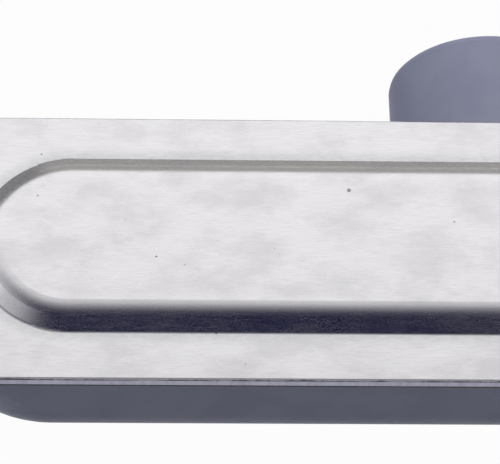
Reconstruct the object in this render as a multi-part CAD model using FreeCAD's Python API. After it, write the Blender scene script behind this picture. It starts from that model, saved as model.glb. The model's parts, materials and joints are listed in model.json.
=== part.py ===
import FreeCAD, Part
import math
import os

# A right-angle conduit body of the half-inch trade size: a cast aluminium body with two threaded
# hubs, a gasket, a stamped cover and its two screws. Millimetres, +Z up.
# The origin is on the back of the body, under the point where the axes of the two hubs cross.
# X runs along the body, the axial hub points to -X, the side hub points to +Y and the cover faces +Z.

# Cover and rim
cover_width = 38.4
cover_corner = 8.2
cover_sheet = 1.5
cover_edge_bevel = 0.3
cover_overhang = 0.8
cover_right_end = 22.0
cover_left_end = 79.0

# Raised panel of the cover
panel_reach = 12.7
panel_shoulder = 2.7
panel_rise = 1.7
panel_crown_radius = 3.8
panel_foot_radius = 0.6
panel_end_gap = 9.3

# Body casting
seat_above_hubs = 0.1
body_wall = 2.8
body_floor = 3.0
back_land_width = 6.0
body_belly_height = 15.5
body_draft = 3.0
end_rounding = 16.0
back_edge_radius = 0.3
belly_steps = 6
wall_steps = 2
round_bevels = 3

# Hubs and the threads in them
hub_radius = 13.25
hub_back_gap = 0.4
hub_mouth_round = 1.2
hub_fillet = 2.0
side_hub_reach = 35.3
axial_hub_projection = 16.0
thread_bore_radius = 10.45
thread_length = 15.0
thread_chamfer = 0.7
throat_radius = 7.9
throat_length = 3.0
throat_lip = 0.9
throat_chamfer = 0.5
hub_well_radius = 9.9
hub_well_overlap = 5.6

# Gasket
gasket_thickness = 0.6
gasket_inset = 0.1
gasket_rim_width = 3.4
gasket_pad_radius = 3.6

# Cover screws and their bosses
screw_inset = 4.6
screw_radius = 1.75
screw_length = 6.35
screw_head_radius = 3.4
screw_head_height = 2.3
screw_head_rim = 1.0
screw_dome_radius = 2.8
screw_dome_height = 1.95
screw_dome_flat = 1.4
screw_slot_width = 0.9
screw_slot_depth = 1.1
screw_tip_chamfer = 0.4
screw_hole_clearance = 0.06
cover_hole_clearance = 0.35
gasket_hole_clearance = 0.6
boss_radius = 4.0
boss_height = 5.3

# Working values
cut_margin = 1.0
same_place = 1e-6

# Worked out from the sizes above
hub_axis_z = hub_radius + hub_back_gap
seat_z = hub_axis_z + hub_radius + seat_above_hubs
cover_under_z = seat_z + gasket_thickness
cover_face_z = cover_under_z + cover_sheet
cover_middle_x = (cover_right_end - cover_left_end) / 2
cover_length = cover_left_end + cover_right_end
rim_half_width = cover_width / 2 - cover_overhang
rim_half_length = cover_length / 2 - cover_overhang
rim_corner = cover_corner - cover_overhang
panel_slope = math.atan2(panel_rise, panel_shoulder)
screw_x = {"left": screw_inset - cover_left_end, "right": cover_right_end - screw_inset}
axial_hub_reach = cover_left_end - cover_overhang + axial_hub_projection


def point(x, y, z=0.0):
    return FreeCAD.Vector(x, y, z)


def rounded_outline(half_length, half_width, corner, z):
    """Closed wire of a rounded rectangle about the middle of the cover, at height z."""
    straight_x = half_length - corner
    straight_y = half_width - corner
    edges = []
    for quarter in range(4):
        turn = math.pi / 2 * quarter
        side_x = (1, -1, -1, 1)[quarter]
        side_y = (1, 1, -1, -1)[quarter]
        centre = point(cover_middle_x + side_x * straight_x, side_y * straight_y, z)
        ends = [centre + point(math.cos(turn + step) * corner, math.sin(turn + step) * corner)
                for step in (0, math.pi / 4, math.pi / 2)]
        edges.append(Part.Arc(*ends).toShape())
    loop = []
    for quarter in range(4):
        loop.append(edges[quarter])
        start = edges[quarter].Vertexes[-1].Point
        finish = edges[(quarter + 1) % 4].Vertexes[0].Point
        if start.distanceToPoint(finish) > same_place:
            loop.append(Part.LineSegment(start, finish).toShape())
    return Part.Wire(loop)


def rounded_plate(half_length, half_width, corner, z, thickness):
    face = Part.Face(rounded_outline(half_length, half_width, corner, z))
    return face.extrude(point(0, 0, thickness))


def tub_section(inset, floor_z, land_half_width, end_round, z):
    """Outline of a bath shape at height z: drafted walls above its belly, an ellipse below."""
    lean = math.tan(math.radians(body_draft)) * (seat_z - max(z, body_belly_height))
    half_width = rim_half_width - inset - lean
    half_length = rim_half_length - inset - lean
    if z < body_belly_height:
        drop = (body_belly_height - z) / (body_belly_height - floor_z)
        share = math.sqrt(1 - drop ** 2)
        half_width = land_half_width + (half_width - land_half_width) * share
        half_length -= end_round * (1 - share)
    full_corner = half_width - back_edge_radius
    squareness = (z / seat_z) ** 3
    corner = full_corner + (rim_corner - inset - full_corner) * squareness
    return rounded_outline(half_length, half_width, corner, z)


def tub(inset, floor_z, land_half_width, end_round):
    """A bath-shaped solid from its floor up to the seat."""
    belly_depth = body_belly_height - floor_z
    belly = []
    for step in range(belly_steps + 1):
        z = body_belly_height - belly_depth * math.cos(math.pi / 2 * step / belly_steps)
        belly.append(tub_section(inset, floor_z, land_half_width, end_round, z))
    walls = []
    for step in range(wall_steps + 1):
        z = body_belly_height + (seat_z - body_belly_height) * step / wall_steps
        walls.append(tub_section(inset, floor_z, land_half_width, end_round, z))
    return Part.makeLoft(belly, True, False).fuse(Part.makeLoft(walls, True, False))


def turned(corners):
    """Solid turned about the X axis from the corners of its half section."""
    face = Part.Face(Part.makePolygon(corners + corners[:1]))
    return face.revolve(point(0, 0, 0), point(1, 0, 0), 360)


def quarter_round(centre, radius, start_degrees, sense=1):
    """Corners along a quarter circle in the XY plane, cut in equal bevels."""
    corners = []
    for step in range(round_bevels + 1):
        angle = math.radians(start_degrees + sense * 90 * step / round_bevels)
        corners.append(centre + point(math.cos(angle) * radius, math.sin(angle) * radius))
    return corners


def hub_outside(reach, root):
    """Outside of a hub along +X, from inside the body to its rounded mouth."""
    rounding = quarter_round(point(reach - hub_mouth_round, hub_radius - hub_mouth_round),
                             hub_mouth_round, 90, -1)
    return turned([point(root, 0), point(root, hub_radius), *rounding, point(reach, 0)])


def hub_well(reach, root):
    """Round recess inside the body, from root to the throat of a hub along +X."""
    depth = reach - thread_length - throat_length - root
    return Part.makeCylinder(hub_well_radius, depth, point(root, 0, 0), point(1, 0, 0))


def hub_passage(reach):
    """Way through a hub along +X: lipped throat, thread bore and mouth chamfer."""
    throat_end = reach - thread_length
    throat_start = throat_end - throat_length
    inner_lip = quarter_round(point(throat_start + throat_lip, throat_radius + throat_lip),
                              throat_lip, 180)
    mouth_radius = thread_bore_radius + thread_chamfer
    past_mouth = reach + thread_chamfer
    return turned([point(throat_start, 0), *inner_lip,
                   point(throat_end - throat_chamfer, throat_radius),
                   point(throat_end, throat_radius + throat_chamfer),
                   point(throat_end, thread_bore_radius),
                   point(reach - thread_chamfer, thread_bore_radius),
                   point(reach, mouth_radius), point(past_mouth, mouth_radius),
                   point(past_mouth, 0)])


def place_hub(shape, turn):
    """Turn a shape made along +X to its own hub and lift it to the hub axes."""
    shape.rotate(point(0, 0, 0), point(0, 0, 1), turn)
    shape.translate(point(0, 0, hub_axis_z))
    return shape


def screw_boss(x, toward_end):
    """Boss under the seat, joined to the end wall and sloped underneath."""
    bottom_z = seat_z - boss_height
    web_length = cover_left_end if toward_end < 0 else cover_right_end
    web_length -= abs(x) + cover_overhang + body_wall / 2
    post = Part.makeCylinder(boss_radius, boss_height, point(x, 0, bottom_z))
    web = Part.makeBox(web_length, 2 * boss_radius, boss_height)
    start_x = x if toward_end > 0 else x - web_length
    web.translate(point(start_x, -boss_radius, bottom_z))
    return post.fuse(web)


def hub_joint_edges(shape):
    """Edges where the hubs leave the body, each between a hub's cylinder and a lofted wall."""
    chosen = []
    for edge in shape.Edges:
        faces = shape.ancestorsOfType(edge, Part.Face)
        kinds = {face.Surface.TypeId for face in faces}
        if kinds == {"Part::GeomBSplineSurface", "Part::GeomCylinder"}:
            chosen.append(edge)
    return chosen


def make_body():
    outside = tub(0.0, 0.0, back_land_width / 2, end_rounding)
    hubs = ((side_hub_reach, 90), (axial_hub_reach, 180))
    for reach, turn in hubs:
        outside = outside.fuse(place_hub(hub_outside(reach, 0.0), turn))
    outside = outside.makeFillet(hub_fillet, hub_joint_edges(outside))
    inside = tub(body_wall, body_floor, back_land_width / 2, end_rounding)
    rim_opening = rounded_plate(rim_half_length - body_wall, rim_half_width - body_wall,
                                rim_corner - body_wall, seat_z, cut_margin)
    inside = inside.fuse(rim_opening)
    well_starts = (rim_half_width - body_wall - hub_well_overlap, cover_left_end - end_rounding)
    for (reach, turn), start in zip(hubs, well_starts):
        inside = inside.fuse(place_hub(hub_well(reach, start), turn))
    for x, toward_end in ((screw_x["left"], -1), (screw_x["right"], 1)):
        inside = inside.cut(screw_boss(x, toward_end))
    for reach, turn in hubs:
        inside = inside.fuse(place_hub(hub_passage(reach), turn))
    body = outside.cut(inside)
    for x in screw_x.values():
        hole = Part.makeCylinder(screw_radius + screw_hole_clearance, boss_height + 2 * cut_margin,
                                 point(x, 0, seat_z - boss_height - cut_margin))
        body = body.cut(hole)
    return body.removeSplitter()


def make_gasket():
    outer = rounded_plate(cover_length / 2 - gasket_inset, cover_width / 2 - gasket_inset,
                          cover_corner - gasket_inset, seat_z, gasket_thickness)
    opening = rounded_plate(rim_half_length - gasket_rim_width, rim_half_width - gasket_rim_width,
                            rim_corner - gasket_rim_width, seat_z, gasket_thickness)
    for x in screw_x.values():
        pad = Part.makeCylinder(gasket_pad_radius, gasket_thickness, point(x, 0, seat_z))
        opening = opening.cut(pad)
    gasket = outer.cut(opening)
    for x in screw_x.values():
        hole = Part.makeCylinder(screw_radius + gasket_hole_clearance, gasket_thickness,
                                 point(x, 0, seat_z))
        gasket = gasket.cut(hole)
    return gasket.removeSplitter()


def panel_block(reach, half_length, z, rise, crown_radius):
    """A raised stadium with sloping shoulders and a rounded crown, standing on height z."""
    top_reach = reach - panel_shoulder
    foot = rounded_outline(half_length, reach, reach, z)
    crown = rounded_outline(half_length - panel_shoulder, top_reach, top_reach, z + rise)
    block = Part.makeLoft([foot, crown], True, True)
    top_edges = [edge for edge in block.Edges
                 if all(abs(vertex.Z - z - rise) < same_place for vertex in edge.Vertexes)]
    return block.makeFillet(crown_radius, top_edges)


def edges_on_face(shape, z, half_length):
    """Edges of a shape that lie at height z within a length about the middle of the cover."""
    chosen = []
    for edge in shape.Edges:
        level = all(abs(vertex.Z - z) < same_place for vertex in edge.Vertexes)
        near = all(abs(vertex.X - cover_middle_x) < half_length + same_place for vertex in edge.Vertexes)
        if level and near:
            chosen.append(edge)
    return chosen


def make_cover():
    half_panel = cover_length / 2 - panel_end_gap
    flange = rounded_plate(cover_length / 2, cover_width / 2, cover_corner, cover_under_z, cover_sheet)
    raised = panel_block(panel_reach, half_panel, cover_face_z, panel_rise, panel_crown_radius)
    shell = flange.fuse(raised).removeSplitter()
    shell = shell.makeFillet(panel_foot_radius, edges_on_face(shell, cover_face_z, half_panel))
    rim_edges = edges_on_face(shell, cover_face_z, cover_length)
    foot_edges = edges_on_face(shell, cover_face_z, half_panel + 2 * panel_foot_radius)
    rim_edges = [edge for edge in rim_edges if not any(edge.isSame(foot) for foot in foot_edges)]
    shell = shell.makeChamfer(cover_edge_bevel, rim_edges)
    hollow_inset = cover_sheet * math.tan(panel_slope / 2)
    hollow = panel_block(panel_reach - hollow_inset, half_panel - hollow_inset,
                         cover_under_z, panel_rise, panel_crown_radius - cover_sheet)
    cover = shell.cut(hollow)
    for x in screw_x.values():
        hole = Part.makeCylinder(screw_radius + cover_hole_clearance, cover_sheet,
                                 point(x, 0, cover_under_z))
        cover = cover.cut(hole)
    return cover.removeSplitter()


def make_cover_screw(x):
    """Slotted pan head screw, standing on the cover with its shank down."""
    screw = turned([point(-screw_length, 0), point(-screw_length, screw_radius - screw_tip_chamfer),
                    point(-screw_length + screw_tip_chamfer, screw_radius), point(0, screw_radius),
                    point(0, screw_head_radius), point(screw_head_rim, screw_head_radius),
                    point(screw_dome_height, screw_dome_radius),
                    point(screw_head_height, screw_dome_flat), point(screw_head_height, 0)])
    screw.rotate(point(0, 0, 0), point(0, 1, 0), -90)
    slot = Part.makeBox(2 * (screw_head_radius + cut_margin), screw_slot_width,
                        screw_slot_depth + cut_margin)
    slot.translate(point(-screw_head_radius - cut_margin, -screw_slot_width / 2,
                         screw_head_height - screw_slot_depth))
    screw = screw.cut(slot)
    screw.translate(point(x, 0, cover_face_z))
    return screw


nodes = {"body": make_body(), "gasket": make_gasket(), "cover": make_cover()}
for side, x in screw_x.items():
    nodes["cover_screw_" + side] = make_cover_screw(x)

os.makedirs("parts", exist_ok=True)
for name, shape in nodes.items():
    solid = shape.Solids[0] if len(shape.Solids) == 1 else shape
    print(name, solid.ShapeType, solid.isValid(), round(solid.Volume, 1), solid.BoundBox)
    solid.exportStep("parts/" + name + ".step")
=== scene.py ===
import json
import math

import bmesh
import bpy
from mathutils import Matrix, Vector


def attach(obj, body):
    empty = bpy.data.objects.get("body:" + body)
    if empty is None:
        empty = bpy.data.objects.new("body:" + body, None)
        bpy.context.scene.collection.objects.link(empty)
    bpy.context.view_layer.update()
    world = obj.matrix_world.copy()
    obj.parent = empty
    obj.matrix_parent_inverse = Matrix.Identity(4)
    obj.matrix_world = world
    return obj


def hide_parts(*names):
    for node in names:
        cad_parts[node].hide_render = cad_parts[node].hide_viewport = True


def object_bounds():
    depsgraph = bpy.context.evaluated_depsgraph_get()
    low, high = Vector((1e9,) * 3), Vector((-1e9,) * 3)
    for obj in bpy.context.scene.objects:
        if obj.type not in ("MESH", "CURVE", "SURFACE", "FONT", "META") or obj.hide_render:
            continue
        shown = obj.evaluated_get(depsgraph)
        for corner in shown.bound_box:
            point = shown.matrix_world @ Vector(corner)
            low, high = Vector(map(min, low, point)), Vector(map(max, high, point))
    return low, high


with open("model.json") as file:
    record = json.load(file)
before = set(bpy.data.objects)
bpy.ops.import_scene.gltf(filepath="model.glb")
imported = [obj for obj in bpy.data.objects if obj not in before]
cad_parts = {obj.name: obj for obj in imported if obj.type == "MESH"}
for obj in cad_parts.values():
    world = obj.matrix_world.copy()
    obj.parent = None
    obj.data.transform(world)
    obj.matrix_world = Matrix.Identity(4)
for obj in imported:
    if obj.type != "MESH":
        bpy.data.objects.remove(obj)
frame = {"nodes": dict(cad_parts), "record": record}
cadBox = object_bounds()
mm = 0.001
mergeReach = 0.001 * mm
creaseAngle = 35.0  # degrees past which an edge stays sharp
nodes = frame["nodes"]
mounts = {mount["name"]: mount for mount in frame["record"]["mounts"]}
print("frame loaded:", ", ".join(sorted(nodes)))


def clearSelection():
    if bpy.context.mode != "OBJECT":
        bpy.ops.object.mode_set(mode="OBJECT")
    bpy.ops.object.select_all(action="DESELECT")


def makeActive(piece):
    clearSelection()
    piece.select_set(True)
    bpy.context.view_layer.objects.active = piece


def namePiece(name):
    piece = bpy.context.object
    piece.name = name
    piece.data.name = name
    return piece


def addPrimitive(add, name, **settings):
    clearSelection()
    add(**settings)
    return namePiece(name)


def pickVertices(piece, wanted):
    # edit mode, with only the vertices selected whose place passes the test
    makeActive(piece)
    bpy.ops.object.mode_set(mode="EDIT")
    bpy.ops.mesh.select_all(action="DESELECT")
    bpy.ops.mesh.select_mode(type="VERT")
    mesh = bmesh.from_edit_mesh(piece.data)
    for vertex in mesh.verts:
        vertex.select_set(wanted(vertex.co))
    mesh.select_flush_mode()
    bmesh.update_edit_mesh(piece.data)


def addModifier(piece, kind, **settings):
    makeActive(piece)
    modifier = piece.modifiers.new(kind.lower(), kind)
    for key, value in settings.items():
        setattr(modifier, key, value)
    bpy.ops.object.modifier_apply(modifier=modifier.name)


def cutWith(piece, cutter, operation="DIFFERENCE"):
    addModifier(piece, "BOOLEAN", operation=operation, object=cutter, solver="EXACT")
    bpy.data.objects.remove(cutter, do_unlink=True)


def applyPlace():
    bpy.ops.object.transform_apply(location=True, rotation=True, scale=True)


def settle(piece):
    # the place goes into the mesh, so that the object sits at the origin
    makeActive(piece)
    applyPlace()
    bpy.ops.object.mode_set(mode="EDIT")
    bpy.ops.mesh.select_all(action="SELECT")
    bpy.ops.mesh.remove_doubles(threshold=mergeReach)
    bpy.ops.mesh.normals_make_consistent(inside=False)
    bpy.ops.object.mode_set(mode="OBJECT")
    bpy.ops.object.shade_smooth_by_angle(angle=math.radians(creaseAngle))


def nodeReach(node, along, side):
    # how far a node reaches along one axis of the frame, to its plus or minus side
    return max((node.matrix_world @ vertex.co)[along] * side for vertex in node.data.vertices)


def newFinish(name):
    material = bpy.data.materials.new(name)
    material.use_nodes = True
    return material, material.node_tree, material.node_tree.nodes["Principled BSDF"]


def addNode(tree, kind, **settings):
    node = tree.nodes.new(kind)
    for key, value in settings.items():
        setattr(node, key, value)
    return node


def feed(tree, socket, value):
    # a socket takes a number, a colour or another node's output
    if isinstance(value, (int, float)):
        socket.default_value = value
    elif isinstance(value, tuple):
        socket.default_value = (*value, 1.0)
    else:
        tree.links.new(value, socket)


def placeOf(tree, stretch=(1.0, 1.0, 1.0)):
    coordinates = addNode(tree, "ShaderNodeTexCoord")
    mapping = addNode(tree, "ShaderNodeMapping")
    mapping.inputs["Scale"].default_value = stretch
    feed(tree, mapping.inputs["Vector"], coordinates.outputs["Object"])
    return mapping.outputs["Vector"]


def noiseOf(tree, stretch, scale, detail, roughness):
    node = addNode(tree, "ShaderNodeTexNoise")
    feed(tree, node.inputs["Vector"], placeOf(tree, stretch))
    for socket, value in (("Scale", scale), ("Detail", detail), ("Roughness", roughness)):
        node.inputs[socket].default_value = value
    return node.outputs["Fac"]


def spread(tree, value, low, high, outLow, outHigh, curve="SMOOTHSTEP"):
    node = addNode(tree, "ShaderNodeMapRange", interpolation_type=curve)
    for socket, number in (("Value", value), ("From Min", low), ("From Max", high),
                           ("To Min", outLow), ("To Max", outHigh)):
        feed(tree, node.inputs[socket], number)
    return node.outputs["Result"]


def sums(tree, operation, first, second=0.0):
    node = addNode(tree, "ShaderNodeMath", operation=operation)
    feed(tree, node.inputs[0], first)
    feed(tree, node.inputs[1], second)
    return node.outputs["Value"]


def mixColour(tree, share, first, second):
    node = addNode(tree, "ShaderNodeMix", data_type="RGBA")
    feed(tree, node.inputs["Factor"], share)
    feed(tree, node.inputs[6], first)
    feed(tree, node.inputs[7], second)
    return node.outputs[2]


def bumpOf(tree, height, strength, distance, under=None):
    node = addNode(tree, "ShaderNodeBump")
    node.inputs["Strength"].default_value = strength
    node.inputs["Distance"].default_value = distance
    feed(tree, node.inputs["Height"], height)
    if under is not None:
        feed(tree, node.inputs["Normal"], under)
    return node.outputs["Normal"]


def splitPlace(tree, vector):
    node = addNode(tree, "ShaderNodeSeparateXYZ")
    feed(tree, node.inputs[0], vector)
    return node.outputs


# In the finishes a noise is its stretch, scale, detail and roughness. A range is the least and most of what
# is read and then what each gives. A bump is its strength and depth.
coverFinish = {
    "sheetColour": (0.850, 0.835, 0.855),
    "cloudColour": (0.725, 0.710, 0.735),
    "paintedShadeColour": (0.640, 0.640, 0.665),  # painted shade on the flange close to the raised panel, for the darker reflection of the sheet bent at the panel's foot
    "shearedColour": (0.355, 0.350, 0.44),
    "bevelColour": (0.42, 0.41, 0.44),
    # near-black: painted shade along the burr under the edge's rollover, and dark flecks in the sheared edge
    "burrAndShadeColour": (0.07, 0.06, 0.08),
    "speckColour": (0.13, 0.12, 0.13),
    "panelMiddleX": -28.5 * mm,
    "panelStraightHalf": 28.5 * mm,
    "panelReach": 12.7 * mm,
    "grain": ((1.0, 26.0, 1.0), 420.0, 5.0, 0.65),
    "clouds": ((1.0, 1.8, 1.0), 130.0, 5.0, 0.6),
    "mottle": ((1.0, 2.4, 1.0), 900.0, 3.0, 0.6),
    "shear": ((1.0, 1.0, 0.12), 1500.0, 3.0, 0.6),
    "breaks": ((1.0, 0.2, 0.2), 260.0, 4.0, 0.7),
    "waves": ((0.35, 1.0, 1.0), 170.0, 2.0, 0.5),
    "streaks": ((0.12, 1.0, 1.0), 1100.0, 3.0, 0.6),
    "cloudRange": (0.40, 0.70, 0.0, 0.8),
    "grainRange": (0.42, 0.75, 0.0, 0.70),
    "flangeRange": (-0.3 * mm, 0.0, 0.0, 1.0),
    # the next two ranges set the painted shade at the panel's foot: how far it reaches and how uneven it is
    "paintedShadeRange": (0.0, 2.0 * mm, 1.0, 0.0),
    "paintedShadeMottleRange": (0.3, 0.7, 0.55, 1.0),
    "largeSpecks": (95.0, 0.30, 0.030),  # cells a metre, share of the cells, largest radius in cells
    "smallSpecks": (260.0, 0.14, 0.040),
    "speckEdgeRange": (-0.006, 0.012, 0.0, 1.0),
    "speckStrength": 0.75,
    "edgeRange": (0.25, 0.4, 1.0, 0.0),  # how level the surface is: 0 on the sheared edge, 1 on the flange
    "shearRange": (0.35, 0.7, 0.0, 0.22),
    "belowFlangeRange": (0.74, 0.80, 1.0, 0.0),
    "aboveEdgeRange": (0.35, 0.5, 0.0, 1.0),
    "burrShadeTopRange": (0.3, 0.7, 28.78 * mm, 29.02 * mm),
    "burrShadeFadeRange": (-0.04 * mm, 0.04 * mm, 0.0, 0.9),
    "bevelMetalRange": (0.0, 1.0, 1.0, 0.25),
    "grainRoughRange": (0.3, 0.7, -0.04, 0.05),
    "cloudRoughRange": (0.35, 0.7, 0.22, 0.28),
    "edgeRoughRange": (0.3, 0.7, 0.25, 0.0),
    "slopeRange": (0.90, 0.97, 1.0, 0.0),
    "waveBump": (0.10, 0.3 * mm),
    "grainBump": (0.08, 0.04 * mm),
    "streakBump": (0.08, 0.05 * mm),
    "mottleBump": (0.06, 0.04 * mm),
}


def panelDistance(tree, place):
    # distance outwards from the foot of the raised panel, a stadium round the middle of the cover
    x, y, z = splitPlace(tree, place)
    along = sums(tree, "ABSOLUTE", sums(tree, "SUBTRACT", x, coverFinish["panelMiddleX"]))
    beyond = sums(tree, "MAXIMUM", sums(tree, "SUBTRACT", along, coverFinish["panelStraightHalf"]))
    square = sums(tree, "ADD", sums(tree, "MULTIPLY", beyond, beyond), sums(tree, "MULTIPLY", y, y))
    return sums(tree, "SUBTRACT", sums(tree, "SQRT", square), coverFinish["panelReach"])


def specksOf(tree, place, cells, share, largest):
    # small round specks in some of the cells, each with its own size
    cell = addNode(tree, "ShaderNodeTexVoronoi", voronoi_dimensions="2D")
    cell.inputs["Scale"].default_value = cells
    feed(tree, cell.inputs["Vector"], place)
    luck = splitPlace(tree, cell.outputs["Color"])[0]
    size = spread(tree, luck, 1.0 - share, 1.0, 0.0, largest, "LINEAR")
    inside = sums(tree, "SUBTRACT", size, cell.outputs["Distance"])
    return spread(tree, inside, *coverFinish["speckEdgeRange"])


def flangePaintedShade(tree, place, mottle):
    # painted shade: 1 on the flange at the foot of the raised panel, 0 away from it and on the panel
    away = panelDistance(tree, place)
    onFlange = spread(tree, away, *coverFinish["flangeRange"])
    near = spread(tree, away, *coverFinish["paintedShadeRange"])
    uneven = spread(tree, mottle, *coverFinish["paintedShadeMottleRange"])
    return sums(tree, "MULTIPLY", onFlange, sums(tree, "MULTIPLY", near, uneven))


def brokenBurrShade(tree, place, onBevel):
    # painted shade for the burr: dark from the bevel's lower side up to a top edge that wanders
    breaks = noiseOf(tree, *coverFinish["breaks"])
    shadeTop = spread(tree, breaks, *coverFinish["burrShadeTopRange"])
    below = sums(tree, "SUBTRACT", shadeTop, splitPlace(tree, place)[2])
    return sums(tree, "MULTIPLY", onBevel, spread(tree, below, *coverFinish["burrShadeFadeRange"]))


def makeCoverSheet():
    # bare rolled sheet: grain along its length, faint clouds, a few specks, painted shade on the flange at
    # the panel's foot, a sheared edge with a burr painted dark as shade
    material, tree, shader = newFinish("coverSheet")
    place = placeOf(tree)
    grain = noiseOf(tree, *coverFinish["grain"])
    clouds = noiseOf(tree, *coverFinish["clouds"])
    mottle = noiseOf(tree, *coverFinish["mottle"])
    toned = mixColour(tree, spread(tree, clouds, *coverFinish["cloudRange"]),
                      coverFinish["sheetColour"], coverFinish["cloudColour"])
    lined = mixColour(tree, spread(tree, grain, *coverFinish["grainRange"]),
                      toned, coverFinish["cloudColour"])
    # the flange darkens towards the panel's foot: painted shade
    shaded = mixColour(tree, flangePaintedShade(tree, place, mottle), lined, coverFinish["paintedShadeColour"])
    specks = sums(tree, "MAXIMUM", specksOf(tree, place, *coverFinish["largeSpecks"]),
                  specksOf(tree, place, *coverFinish["smallSpecks"]))
    dotted = mixColour(tree, sums(tree, "MULTIPLY", specks, coverFinish["speckStrength"]),
                       shaded, coverFinish["speckColour"])
    normal = splitPlace(tree, addNode(tree, "ShaderNodeNewGeometry").outputs["Normal"])
    level = sums(tree, "ABSOLUTE", normal[2])
    shear = noiseOf(tree, *coverFinish["shear"])
    sheared = mixColour(tree, spread(tree, shear, *coverFinish["shearRange"]),
                        coverFinish["shearedColour"], coverFinish["burrAndShadeColour"])
    edged = mixColour(tree, spread(tree, level, *coverFinish["edgeRange"]), dotted, sheared)
    onBevel = sums(tree, "MULTIPLY", spread(tree, level, *coverFinish["belowFlangeRange"]),
                   spread(tree, level, *coverFinish["aboveEdgeRange"]))
    bevelled = mixColour(tree, onBevel, edged, coverFinish["bevelColour"])
    # the burr darkens the bevel's lower side: painted shade
    finished = mixColour(tree, brokenBurrShade(tree, place, onBevel), bevelled, coverFinish["burrAndShadeColour"])
    feed(tree, shader.inputs["Base Color"], finished)
    feed(tree, shader.inputs["Metallic"], spread(tree, onBevel, *coverFinish["bevelMetalRange"], "LINEAR"))
    rough = sums(tree, "ADD", spread(tree, grain, *coverFinish["grainRoughRange"], "LINEAR"),
                 spread(tree, clouds, *coverFinish["cloudRoughRange"], "LINEAR"))
    worn = sums(tree, "ADD", rough, spread(tree, level, *coverFinish["edgeRoughRange"]))
    feed(tree, shader.inputs["Roughness"], worn)
    rolled = bumpOf(tree, noiseOf(tree, *coverFinish["waves"]), *coverFinish["waveBump"])
    brushed = bumpOf(tree, grain, *coverFinish["grainBump"], rolled)
    streaks = noiseOf(tree, *coverFinish["streaks"])
    onSlope = sums(tree, "MULTIPLY", spread(tree, level, *coverFinish["slopeRange"]), streaks)
    drawn = bumpOf(tree, onSlope, *coverFinish["streakBump"], brushed)
    feed(tree, shader.inputs["Normal"], bumpOf(tree, mottle, *coverFinish["mottleBump"], drawn))
    return material


castingFinish = {
    "paint": (0.300, 0.312, 0.400),
    "paintWorn": (0.270, 0.282, 0.370),
    "paintGloss": 1.07,  # index of refraction, low for a flat coat
    "bare": (0.70, 0.70, 0.71),
    "bareSmoother": 0.10,
    "boreReach": 10.9 * mm,
    "boreMargin": 1.5 * mm,
    "peel": ((1.0, 1.0, 1.0), 1400.0, 3.0, 0.5),
    "grit": ((1.0, 1.0, 1.0), 5200.0, 2.0, 0.5),
    "waves": ((1.0, 1.0, 1.0), 120.0, 2.0, 0.5),
    "patches": ((1.0, 1.0, 1.0), 420.0, 3.0, 0.6),
    "waveRange": (0.35, 0.7, 0.0, 1.0),
    "patchRange": (0.45, 0.75, 0.0, 0.5),
    "peelRoughRange": (0.3, 0.7, 0.35, 0.43),
    "waveBump": (0.10, 0.2 * mm),
    "peelBump": (0.16, 0.06 * mm),
    "gritBump": (0.05, 0.02 * mm),
}


def runsAlongY(mount):
    return abs(mount["axis"][1]) > abs(mount["axis"][0])


def boreMask(tree, place, mount):
    # 1 on a hub's machined bore, 0 on the paint
    centre = mount["pos_m"]
    along, across = (1, 0) if runsAlongY(mount) else (0, 1)
    parts = splitPlace(tree, place)
    sideways = sums(tree, "SUBTRACT", parts[across], centre[across])
    upward = sums(tree, "SUBTRACT", parts[2], centre[2])
    radius = sums(tree, "SQRT", sums(tree, "ADD", sums(tree, "MULTIPLY", sideways, sideways),
                                     sums(tree, "MULTIPLY", upward, upward)))
    outward = sums(tree, "SUBTRACT", parts[along], centre[along])
    reach = sums(tree, "MULTIPLY", outward, mount["axis"][along])
    innermost = -mount["dims"]["length_mm"] * mm / 2 - castingFinish["boreMargin"]
    return sums(tree, "MULTIPLY", sums(tree, "LESS_THAN", radius, castingFinish["boreReach"]),
                sums(tree, "GREATER_THAN", reach, innermost))


def makePaintedCasting():
    # flat grey coat with a fine orange peel over the casting, bare metal where the hubs are machined
    material, tree, shader = newFinish("paintedCasting")
    shader.inputs["IOR"].default_value = castingFinish["paintGloss"]
    place = placeOf(tree)
    peel = noiseOf(tree, *castingFinish["peel"])
    waves = noiseOf(tree, *castingFinish["waves"])
    patches = noiseOf(tree, *castingFinish["patches"])
    paint = mixColour(tree, spread(tree, waves, *castingFinish["waveRange"]),
                      castingFinish["paint"], castingFinish["paintWorn"])
    aged = mixColour(tree, spread(tree, patches, *castingFinish["patchRange"]),
                     paint, castingFinish["paintWorn"])
    bare = sums(tree, "MAXIMUM", boreMask(tree, place, mounts["side_hub"]),
                boreMask(tree, place, mounts["axial_hub"]))
    feed(tree, shader.inputs["Base Color"], mixColour(tree, bare, aged, castingFinish["bare"]))
    feed(tree, shader.inputs["Metallic"], bare)
    coat = spread(tree, peel, *castingFinish["peelRoughRange"], "LINEAR")
    smoother = sums(tree, "MULTIPLY", bare, castingFinish["bareSmoother"])
    feed(tree, shader.inputs["Roughness"], sums(tree, "SUBTRACT", coat, smoother))
    low = bumpOf(tree, waves, *castingFinish["waveBump"])
    peeled = bumpOf(tree, peel, *castingFinish["peelBump"], low)
    grit = noiseOf(tree, *castingFinish["grit"])
    feed(tree, shader.inputs["Normal"], bumpOf(tree, grit, *castingFinish["gritBump"], peeled))
    return material


gasketFinish = {
    "dark": (0.012, 0.012, 0.016),
    "dusty": (0.04, 0.04, 0.045),
    "dust": ((1.0, 1.0, 1.0), 700.0, 4.0, 0.6),
    "dustRange": (0.4, 0.75, 0.0, 1.0),
    "roughRange": (0.3, 0.7, 0.62, 0.80),
    "dustBump": (0.2, 0.05 * mm),
}


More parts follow.
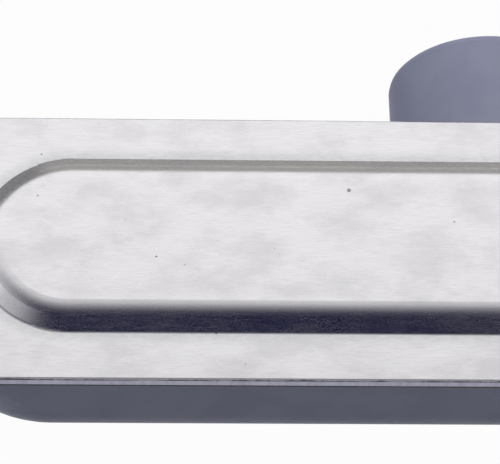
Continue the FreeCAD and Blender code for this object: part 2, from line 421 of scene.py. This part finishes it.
def makeGasketRubber():
    # black rubber with a little dust
    material, tree, shader = newFinish("gasketRubber")
    dust = noiseOf(tree, *gasketFinish["dust"])
    feed(tree, shader.inputs["Base Color"], mixColour(tree, spread(tree, dust, *gasketFinish["dustRange"]),
                                                      gasketFinish["dark"], gasketFinish["dusty"]))
    feed(tree, shader.inputs["Roughness"], spread(tree, dust, *gasketFinish["roughRange"], "LINEAR"))
    feed(tree, shader.inputs["Normal"], bumpOf(tree, dust, *gasketFinish["dustBump"]))
    return material


screwFinish = {
    "colour": (0.66, 0.67, 0.70),
    "dull": (0.50, 0.50, 0.53),
    "patches": ((1.0, 1.0, 1.0), 600.0, 4.0, 0.6),
    "toolMarks": ((1.0, 1.0, 1.0), 3000.0, 2.0, 0.5),
    "patchRange": (0.4, 0.7, 0.0, 1.0),
    "roughRange": (0.3, 0.7, 0.25, 0.42),
    "markBump": (0.08, 0.02 * mm),
}
threadFinish = {
    "colour": (0.72, 0.72, 0.73),
    "dull": (0.58, 0.58, 0.60),
    "patches": ((1.0, 1.0, 1.0), 500.0, 4.0, 0.6),
    "toolMarks": ((1.0, 1.0, 1.0), 2500.0, 2.0, 0.5),
    "patchRange": (0.4, 0.7, 0.0, 1.0),
    "roughRange": (0.3, 0.7, 0.23, 0.40),
    "markBump": (0.08, 0.02 * mm),
}


def makePlainMetal(name, finish):
    # plated or freshly cut metal with fine tool marks and dull patches
    material, tree, shader = newFinish(name)
    patches = noiseOf(tree, *finish["patches"])
    toolMarks = noiseOf(tree, *finish["toolMarks"])
    feed(tree, shader.inputs["Base Color"], mixColour(tree, spread(tree, patches, *finish["patchRange"]),
                                                      finish["colour"], finish["dull"]))
    shader.inputs["Metallic"].default_value = 1.0
    feed(tree, shader.inputs["Roughness"], spread(tree, patches, *finish["roughRange"], "LINEAR"))
    feed(tree, shader.inputs["Normal"], bumpOf(tree, toolMarks, *finish["markBump"]))
    return material


def giveFinish(piece, material):
    piece.data.materials.clear()
    piece.data.materials.append(material)


coverSheet = makeCoverSheet()
paintedCasting = makePaintedCasting()
gasketRubber = makeGasketRubber()
screwSteel = makePlainMetal("screwSteel", screwFinish)
cutThread = makePlainMetal("cutThread", threadFinish)
giveFinish(nodes["body"], paintedCasting)
giveFinish(nodes["gasket"], gasketRubber)
giveFinish(nodes["cover"], coverSheet)
print("finishes made")


def makeHelix(name, thread):
    # a thread ridge round +Z, its first turn starting at height zero
    middle = (thread["footRadius"] + thread["crestRadius"]) / 2
    pointsInward = thread["crestRadius"] < thread["footRadius"]
    piece = addPrimitive(bpy.ops.mesh.primitive_plane_add, name, size=1.0, rotation=(math.pi / 2, 0, 0),
                         location=(middle, 0, 0))
    piece.scale = (abs(thread["footRadius"] - thread["crestRadius"]), thread["footWidth"], 1.0)
    applyPlace()
    pickVertices(piece, lambda place: (place.x < middle) == pointsInward)
    bpy.ops.transform.resize(value=(1, 1, thread["crestWidth"] / thread["footWidth"]),
                             center_override=(thread["crestRadius"], 0, 0))
    bpy.ops.mesh.select_all(action="SELECT")
    bpy.ops.mesh.delete(type="ONLY_FACE")
    bpy.ops.object.mode_set(mode="OBJECT")
    addModifier(piece, "SCREW", axis="Z", angle=2 * math.pi, screw_offset=thread["pitch"],
                iterations=thread["turns"], steps=thread["steps"], render_steps=thread["steps"],
                use_merge_vertices=False)
    bpy.ops.object.mode_set(mode="EDIT")
    bpy.ops.mesh.select_all(action="SELECT")
    bpy.ops.mesh.remove_doubles(threshold=mergeReach)
    bpy.ops.mesh.fill_holes(sides=0)  # closes the two ends
    bpy.ops.mesh.select_all(action="SELECT")
    bpy.ops.mesh.normals_make_consistent(inside=False)
    bpy.ops.object.mode_set(mode="OBJECT")
    return piece


def liftHelix(piece, height):
    piece.location = (0, 0, height)
    applyPlace()


hubThread = {
    "pitch": 1.814 * mm,
    "turns": 9,
    "steps": 72,
    "footRadius": 10.5 * mm,
    "crestRadius": 9.65 * mm,
    "footWidth": 1.72 * mm,
    "crestWidth": 0.25 * mm,
    "boreLength": 15.0 * mm,
    "hiddenStart": 1.0 * mm,  # the first turn grows out of the shoulder behind the bore
    "leadIn": 1.75 * mm,  # depth from the mouth at which the lead-in cone meets the thread
    "leadInClearance": 0.2 * mm,  # how far inside the crests the cone starts
    "leadInHeight": 4.0 * mm,  # long enough to clear all that stands past the mouth
    "leadInSides": 96,
}


def mouthReachOf(mount):
    # how far a hub's mouth stands from the crossing of the hub axes
    along = 1 if runsAlongY(mount) else 0
    return nodeReach(nodes["body"], along, mount["axis"][along])


def makeHubThread(name, mount, turn):
    mouthReach = mouthReachOf(mount)
    piece = makeHelix(name, hubThread)
    liftHelix(piece, mouthReach - hubThread["boreLength"] - hubThread["hiddenStart"])
    coneRadius = hubThread["crestRadius"] - hubThread["leadInClearance"]
    coneMiddle = mouthReach - hubThread["leadIn"] + hubThread["leadInHeight"] / 2
    cone = addPrimitive(bpy.ops.mesh.primitive_cone_add, "leadIn", vertices=hubThread["leadInSides"],
                        radius1=coneRadius, radius2=coneRadius + hubThread["leadInHeight"],  # 45 degrees
                        depth=hubThread["leadInHeight"], location=(0, 0, coneMiddle))
    cutWith(piece, cone)
    makeActive(piece)
    piece.rotation_euler = turn
    piece.location = (0, 0, mount["pos_m"][2])
    settle(piece)
    giveFinish(piece, cutThread)
    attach(piece, "casting")


makeHubThread("sideHubThread", mounts["side_hub"], (-math.pi / 2, 0, 0))
makeHubThread("axialHubThread", mounts["axial_hub"], (0, -math.pi / 2, 0))
print("hub threads cut")

coverScrew = {
    "headRadius": 3.38 * mm,
    "headHeight": 2.3 * mm,
    "headRound": 1.15 * mm,
    "headRoundSteps": 5,
    "headSides": 64,
    "slotWidth": 0.9 * mm,
    "slotDepth": 1.1 * mm,
    "slotTurn": {"left": 17.0, "right": -38.0},
    "alongCover": {"left": -74.4 * mm, "right": 17.4 * mm},
    "seatHeight": 29.1 * mm,
    "shankLength": 6.35 * mm,
    "tipChamfer": 0.45 * mm,
    "coreRadius": 1.36 * mm,
    "coreSides": 36,
    "coreIntoHead": 0.3 * mm,
    "ridgeIntoHead": 0.25 * mm,
    "trimClearance": 0.1 * mm,  # past the crests, so that only the ends of the ridge are trimmed
    "trimSides": 72,
    "trimIntoHead": 1.0 * mm,
}
screwThread = {
    "pitch": 0.794 * mm,
    "turns": 9,
    "steps": 36,
    "footRadius": 1.30 * mm,
    "crestRadius": 1.74 * mm,
    "footWidth": 0.74 * mm,
    "crestWidth": 0.10 * mm,
}


def makeScrewHead(name):
    head = addPrimitive(bpy.ops.mesh.primitive_cylinder_add, name, vertices=coverScrew["headSides"],
                        radius=coverScrew["headRadius"], depth=coverScrew["headHeight"],
                        location=(0, 0, coverScrew["headHeight"] / 2))
    applyPlace()
    pickVertices(head, lambda place: place.z > coverScrew["headHeight"] / 2)
    bpy.ops.mesh.bevel(offset=coverScrew["headRound"], segments=coverScrew["headRoundSteps"], profile=0.5,
                       affect="EDGES")
    bpy.ops.object.mode_set(mode="OBJECT")
    slot = addPrimitive(bpy.ops.mesh.primitive_cube_add, "slot", size=1.0,
                        location=(0, 0, coverScrew["headHeight"]))
    slot.scale = (3 * coverScrew["headRadius"],  # past both sides of the head
                  coverScrew["slotWidth"], 2 * coverScrew["slotDepth"])
    applyPlace()
    cutWith(head, slot)
    return head


def makeShank(name, radius, sides, intoHead, chamfer):
    # a round bar from inside the head down to its chamfered tip
    shank = addPrimitive(bpy.ops.mesh.primitive_cylinder_add, name, vertices=sides, radius=radius,
                         depth=coverScrew["shankLength"] + intoHead,
                         location=(0, 0, (intoHead - coverScrew["shankLength"]) / 2))
    applyPlace()
    pickVertices(shank, lambda place: place.z < -coverScrew["shankLength"] / 2)
    bpy.ops.mesh.bevel(offset=chamfer, segments=1, affect="EDGES")
    bpy.ops.object.mode_set(mode="OBJECT")
    return shank


def makeCoverScrew(side):
    head = makeScrewHead("coverScrew_" + side)
    core = makeShank("core", coverScrew["coreRadius"], coverScrew["coreSides"],
                     coverScrew["coreIntoHead"], coverScrew["tipChamfer"] / 2)
    ridge = makeHelix("ridge", screwThread)
    liftHelix(ridge, coverScrew["ridgeIntoHead"] - screwThread["pitch"] * screwThread["turns"])
    trimRadius = screwThread["crestRadius"] + coverScrew["trimClearance"]
    trim = makeShank("trim", trimRadius, coverScrew["trimSides"],
                     coverScrew["trimIntoHead"], coverScrew["tipChamfer"])
    cutWith(ridge, trim, "INTERSECT")
    clearSelection()
    for part in (core, ridge, head):
        part.select_set(True)
    bpy.context.view_layer.objects.active = head
    bpy.ops.object.join()
    head.rotation_euler = (0, 0, math.radians(coverScrew["slotTurn"][side]))
    head.location = (coverScrew["alongCover"][side], 0, coverScrew["seatHeight"])
    settle(head)
    giveFinish(head, screwSteel)
    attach(head, side + "_screw")
    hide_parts("cover_screw_" + side)


makeCoverScrew("left")
makeCoverScrew("right")
print("cover screws made")

stageSet = {
    "floorSize": 6.0,
    "floorColour": (0.28, 0.28, 0.28),
    "floorRoughness": 0.9,
    "whiteShare": 0.975,  # the rest of the floor takes the object's shadow
    "worldColour": (0.034, 0.034, 0.075),
    "cardFade": 2.2,
}


def whiteRays(tree):
    # 1 for the rays that are to see a white room: straight from the camera, mirrored or let through
    rays = addNode(tree, "ShaderNodeLightPath")
    bounced = sums(tree, "MAXIMUM", rays.outputs["Is Glossy Ray"], rays.outputs["Is Transmission Ray"])
    return sums(tree, "MAXIMUM", rays.outputs["Is Camera Ray"], bounced)


def mixInto(tree, output, share, first, second):
    mix = addNode(tree, "ShaderNodeMixShader")
    for socket, value in zip(mix.inputs, (share, first, second)):
        feed(tree, socket, value)
    feed(tree, tree.nodes[output].inputs["Surface"], mix.outputs[0])


def makeFloor():
    floor = addPrimitive(bpy.ops.mesh.primitive_plane_add, "floor", size=stageSet["floorSize"],
                         location=(0, 0, cadBox[0][2]))
    material, tree, shader = newFinish("paleFloor")
    feed(tree, shader.inputs["Base Color"], stageSet["floorColour"])
    feed(tree, shader.inputs["Roughness"], stageSet["floorRoughness"])
    shader.inputs["Specular IOR Level"].default_value = 0.0
    glow = addNode(tree, "ShaderNodeEmission")
    feed(tree, glow.inputs["Color"], (1.0, 1.0, 1.0))
    seen = sums(tree, "MULTIPLY", whiteRays(tree), stageSet["whiteShare"])
    mixInto(tree, "Material Output", seen, shader.outputs[0], glow.outputs[0])
    giveFinish(floor, material)


cards = {
    # name: middle, size, turn, dark colour, and where it pales (axis, from, to, share of white)
    "frontCard": ((-0.08, -0.42, 0.64), (1.74, 1.40), (0, 0, 0), (0.006, 0.006, 0.035),
                  ((1, -0.42, 0.29, 1.0), (0, -0.34, -0.62, 0.72))),
    "backCard": ((0.20, 0.32, 0.09), (0.70, 0.18), (math.pi / 2, 0, 0), (0.36, 0.355, 0.335), ()),
    "cornerCard": ((-0.375, 0.32, 0.09), (0.45, 0.18), (math.pi / 2, 0, 0), (0.19, 0.19, 0.195), ()),
}


def makeCards():
    # plain cards out of the camera's sight, which only the bare metal mirrors
    for name, (middle, size, turn, dark, fades) in cards.items():
        card = addPrimitive(bpy.ops.mesh.primitive_plane_add, name, size=1.0, location=middle, rotation=turn)
        card.scale = (*size, 1.0)
        applyPlace()
        material, tree, shader = newFinish(name + "Paint")
        feed(tree, shader.inputs["Base Color"], (0.0, 0.0, 0.0))
        shader.inputs["Specular IOR Level"].default_value = 0.0
        feed(tree, shader.inputs["Emission Color"], dark)
        shader.inputs["Emission Strength"].default_value = 1.0
        parts = splitPlace(tree, placeOf(tree))
        share = None
        for axis, start, end, most in fades:
            pale = spread(tree, parts[axis], start, end, 0.0, most, "LINEAR")
            share = sums(tree, "MAXIMUM", share, pale) if share else pale
        if share:
            feed(tree, shader.inputs["Emission Color"],
                 mixColour(tree, sums(tree, "POWER", share, stageSet["cardFade"]), dark, (1.0, 1.0, 1.0)))
        giveFinish(card, material)
        card.visible_camera = False
        card.visible_diffuse = False
        card.visible_shadow = False


def makeWorld():
    world = bpy.data.worlds.new("studio")
    bpy.context.scene.world = world
    world.use_nodes = True
    tree = world.node_tree
    dim = tree.nodes["Background"]
    feed(tree, dim.inputs["Color"], stageSet["worldColour"])
    white = addNode(tree, "ShaderNodeBackground")
    feed(tree, white.inputs["Color"], (1.0, 1.0, 1.0))
    mixInto(tree, "World Output", whiteRays(tree), dim.outputs[0], white.outputs[0])


softboxes = {
    # name: centre, size across and along, direction faced, radiance
    "topSoftbox": ((0.50, 0.31, 0.63), (1.9, 0.34), (0, 0, -1), 2.35),
    "farSoftbox": ((0.50, 0.935, 0.63), (1.9, 0.90), (0, 0, -1), 2.0),
    "nearStrip": ((-0.03, -0.02, 0.63), (2.1, 0.24), (0, 0, -1), 0.40),
    "leftSoftbox": ((-1.15, 0.05, 0.17), (0.9, 0.3), (1, 0, -0.10), 4.6),
    "frontFill": ((-0.03, -1.1, 0.32), (2.0, 0.50), (0, 1, -0.2), 0.95),
}


def makeLights():
    for name, (centre, size, facing, radiance) in softboxes.items():
        light = bpy.data.lights.new(name, "AREA")
        light.shape = "RECTANGLE"
        light.size, light.size_y = size
        light.energy = radiance * math.pi * size[0] * size[1]
        lamp = bpy.data.objects.new(name, light)
        bpy.context.scene.collection.objects.link(lamp)
        lamp.visible_glossy = False  # the metal mirrors the white room and the cards
        lamp.location = centre
        lamp.rotation_euler = Vector(facing).to_track_quat("-Z", "Y").to_euler()


cameraSet = {
    "target": (-34.14 * mm, 1.84 * mm, 29.1 * mm),
    "distance": 237.3 * mm,
    "azimuth": 3.2,
    "elevation": 60.9,
    "roll": 3.24,
    "lens": 131.9,
    "sensorWidth": 36.0,
    "nearestSeen": 10 * mm,
}


def makeCamera():
    camera = bpy.data.objects.new("camera", bpy.data.cameras.new("camera"))
    bpy.context.scene.collection.objects.link(camera)
    camera.data.sensor_width = cameraSet["sensorWidth"]
    camera.data.lens = cameraSet["lens"]
    camera.data.clip_start = cameraSet["nearestSeen"]
    azimuth = math.radians(cameraSet["azimuth"])
    elevation = math.radians(cameraSet["elevation"])
    back = Vector((-math.sin(azimuth) * math.cos(elevation), -math.cos(azimuth) * math.cos(elevation),
                   math.sin(elevation)))
    roll = Matrix.Rotation(math.radians(cameraSet["roll"]), 3, "Z")
    turn = (-back).to_track_quat("-Z", "Y").to_matrix() @ roll
    camera.location = Vector(cameraSet["target"]) + back * cameraSet["distance"]
    camera.rotation_euler = turn.to_euler()
    bpy.context.scene.camera = camera


makeFloor()
makeCards()
makeWorld()
makeLights()
makeCamera()
bpy.context.scene.view_settings.view_transform = "Standard"
print("stage, lights and camera placed")
